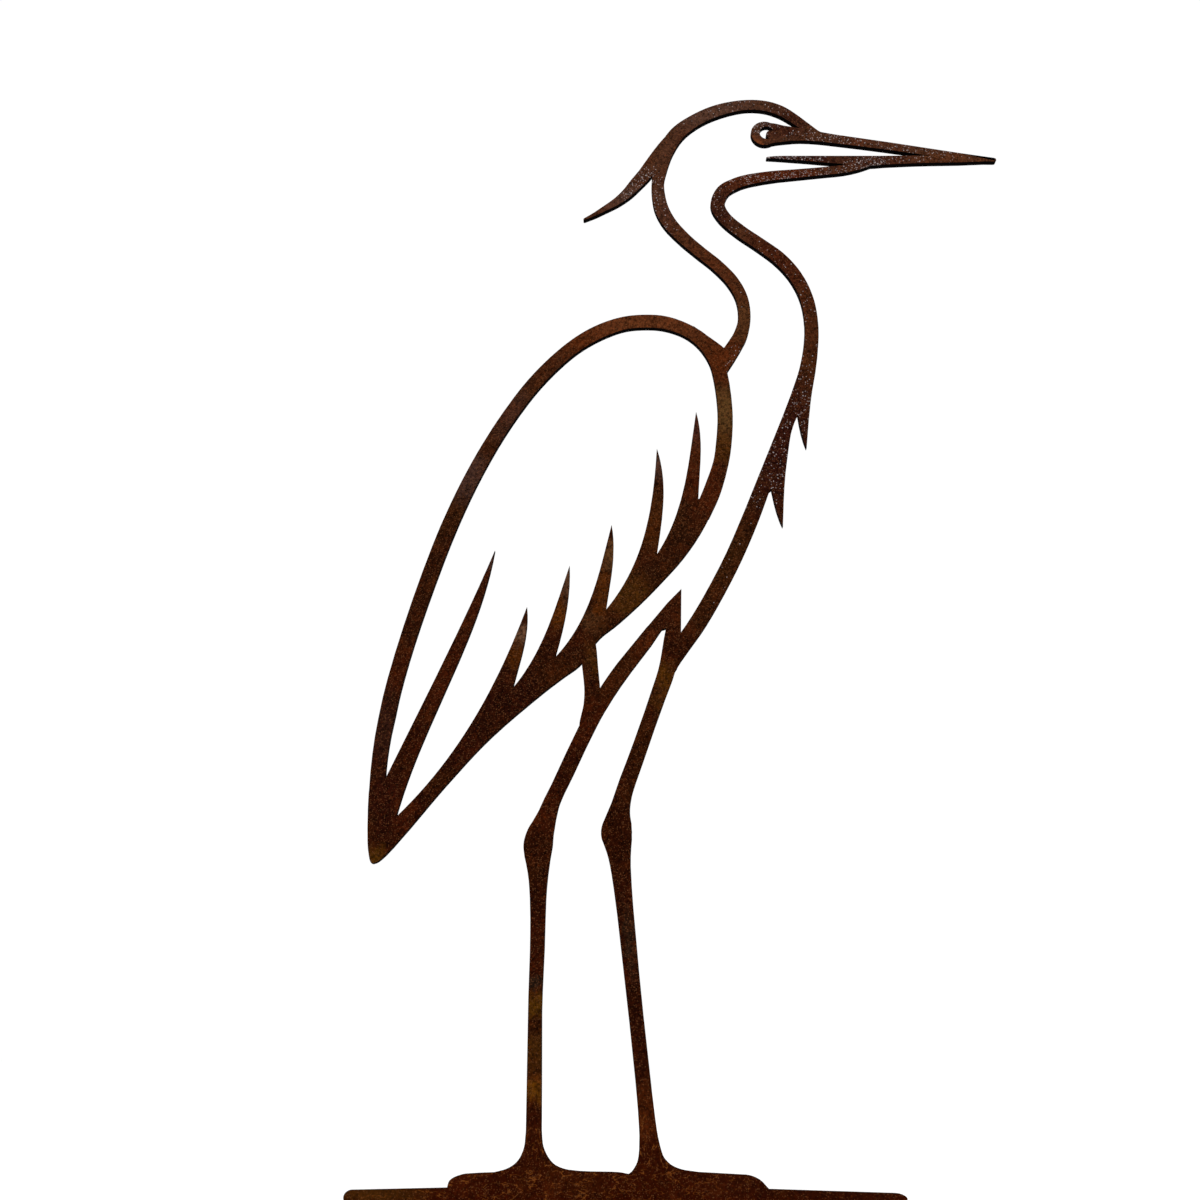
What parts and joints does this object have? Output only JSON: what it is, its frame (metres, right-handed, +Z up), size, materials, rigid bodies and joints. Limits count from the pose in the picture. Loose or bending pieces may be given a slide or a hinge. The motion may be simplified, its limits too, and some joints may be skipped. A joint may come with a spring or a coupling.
{
  "type": "heron garden stake",
  "caption": "Flat line silhouette of a standing heron, cut with the ground strip under its feet from rusted steel plate, to stand upright in a garden bed.",
  "frame": {"origin": "middle of the flat underside of the ground strip, at the ground line and at the middle of the plate's thickness", "axes": "+X from the tail to the bill, +Y through the plate to its back, +Z up"},
  "size_m": [0.5804, 0.006, 1.001],
  "materials": {
    "rusted_plate": "weathering steel plate rusted all over to a matt dark brown, with fine grain, a few pale flecks, ochre patches and near-black cut edges"
  },
  "bodies": {
    "root": {"heron_plate": "rusted_plate"}
  },
  "joints": []
}
